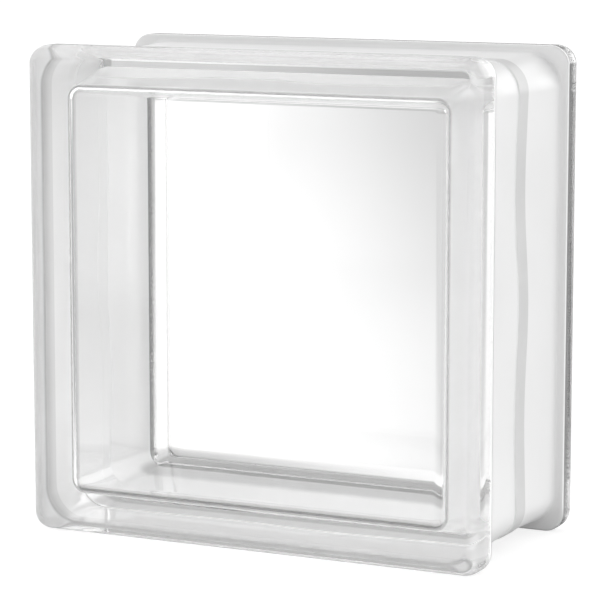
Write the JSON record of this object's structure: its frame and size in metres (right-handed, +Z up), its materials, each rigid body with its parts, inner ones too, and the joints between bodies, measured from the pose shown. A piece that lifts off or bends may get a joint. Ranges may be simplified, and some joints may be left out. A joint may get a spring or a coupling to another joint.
{
  "type": "glass block",
  "caption": "Square hollow block of clear pressed glass with plain faces, rounded lips and a white-coated mortar groove around its sides, for laying in glazed walls.",
  "frame": {"origin": "middle of the bottom, on the plane of the two lips that the block stands on", "axes": "+X to the right across the face, +Y through the block from the front face to the back face, +Z up"},
  "size_m": [0.19, 0.1, 0.19],
  "materials": {
    "clear_glass": "clear fire-polished glass, with a white coating in the groove around the sides",
    "white_coating": "thin white sprayed coating in the groove, added by the scene and not a solid of its own"
  },
  "bodies": {
    "root": {"glass_block": "clear_glass"}
  },
  "joints": []
}
